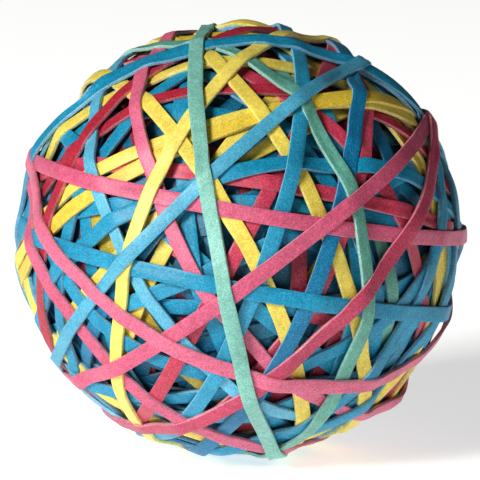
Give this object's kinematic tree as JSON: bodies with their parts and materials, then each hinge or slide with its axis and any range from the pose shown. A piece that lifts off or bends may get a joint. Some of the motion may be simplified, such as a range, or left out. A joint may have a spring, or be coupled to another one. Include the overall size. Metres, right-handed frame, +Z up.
{
  "type": "rubber band ball",
  "caption": "Desk ball of coloured rubber bands stretched round one another over a packed ball of earlier bands.",
  "frame": {"origin": "middle of the ball, at the centre of its box", "axes": "+Z up and -Y to the front; a ball has no natural way up, so the upright is the one that the reference view shows"},
  "size_m": [0.0798, 0.0798, 0.0776],
  "materials": {
    "packed_rubber": "matte",
    "blue_rubber": "matte, faint dusting",
    "sky_rubber": "matte, faint dusting",
    "pink_rubber": "matte, faint dusting",
    "red_rubber": "matte, faint dusting",
    "yellow_rubber": "matte, faint dusting",
    "mint_rubber": "matte, faint dusting"
  },
  "bodies": {
    "root": {"packed_inner_bands": "packed_rubber", "blue_band_01": "blue_rubber", "yellow_band_02": "yellow_rubber", "pink_band_03": "pink_rubber", "blue_band_04": "blue_rubber", "blue_band_05": "blue_rubber", "blue_band_06": "blue_rubber", "blue_band_07": "blue_rubber", "red_band_08": "red_rubber", "blue_band_09": "blue_rubber", "yellow_band_10": "yellow_rubber", "blue_band_11": "blue_rubber", "mint_band_12": "mint_rubber", "blue_band_13": "blue_rubber", "blue_band_14": "blue_rubber", "blue_band_15": "blue_rubber", "yellow_band_16": "yellow_rubber", "blue_band_17": "blue_rubber", "blue_band_18": "blue_rubber", "blue_band_19": "blue_rubber", "blue_band_20": "blue_rubber", "blue_band_21": "blue_rubber", "sky_band_22": "sky_rubber", "blue_band_23": "blue_rubber", "yellow_band_24": "yellow_rubber", "blue_band_25": "blue_rubber", "red_band_26": "red_rubber", "yellow_band_27": "yellow_rubber", "blue_band_28": "blue_rubber", "yellow_band_29": "yellow_rubber", "yellow_band_30": "yellow_rubber", "blue_band_31": "blue_rubber", "red_band_32": "red_rubber", "red_band_33": "red_rubber", "red_band_34": "red_rubber", "red_band_35": "red_rubber", "yellow_band_36": "yellow_rubber", "yellow_band_37": "yellow_rubber", "sky_band_38": "sky_rubber", "yellow_band_39": "yellow_rubber", "blue_band_40": "blue_rubber", "yellow_band_41": "yellow_rubber", "red_band_42": "red_rubber", "pink_band_43": "pink_rubber", "blue_band_44": "blue_rubber", "blue_band_45": "blue_rubber", "blue_band_46": "blue_rubber", "blue_band_47": "blue_rubber", "blue_band_48": "blue_rubber", "blue_band_49": "blue_rubber", "pink_band_50": "pink_rubber", "pink_band_51": "pink_rubber", "mint_band_52": "mint_rubber", "yellow_band_53": "yellow_rubber", "blue_band_54": "blue_rubber", "sky_band_55": "sky_rubber", "pink_band_56": "pink_rubber", "pink_band_57": "pink_rubber", "pink_band_58": "pink_rubber", "mint_band_59": "mint_rubber"}
  },
  "joints": []
}
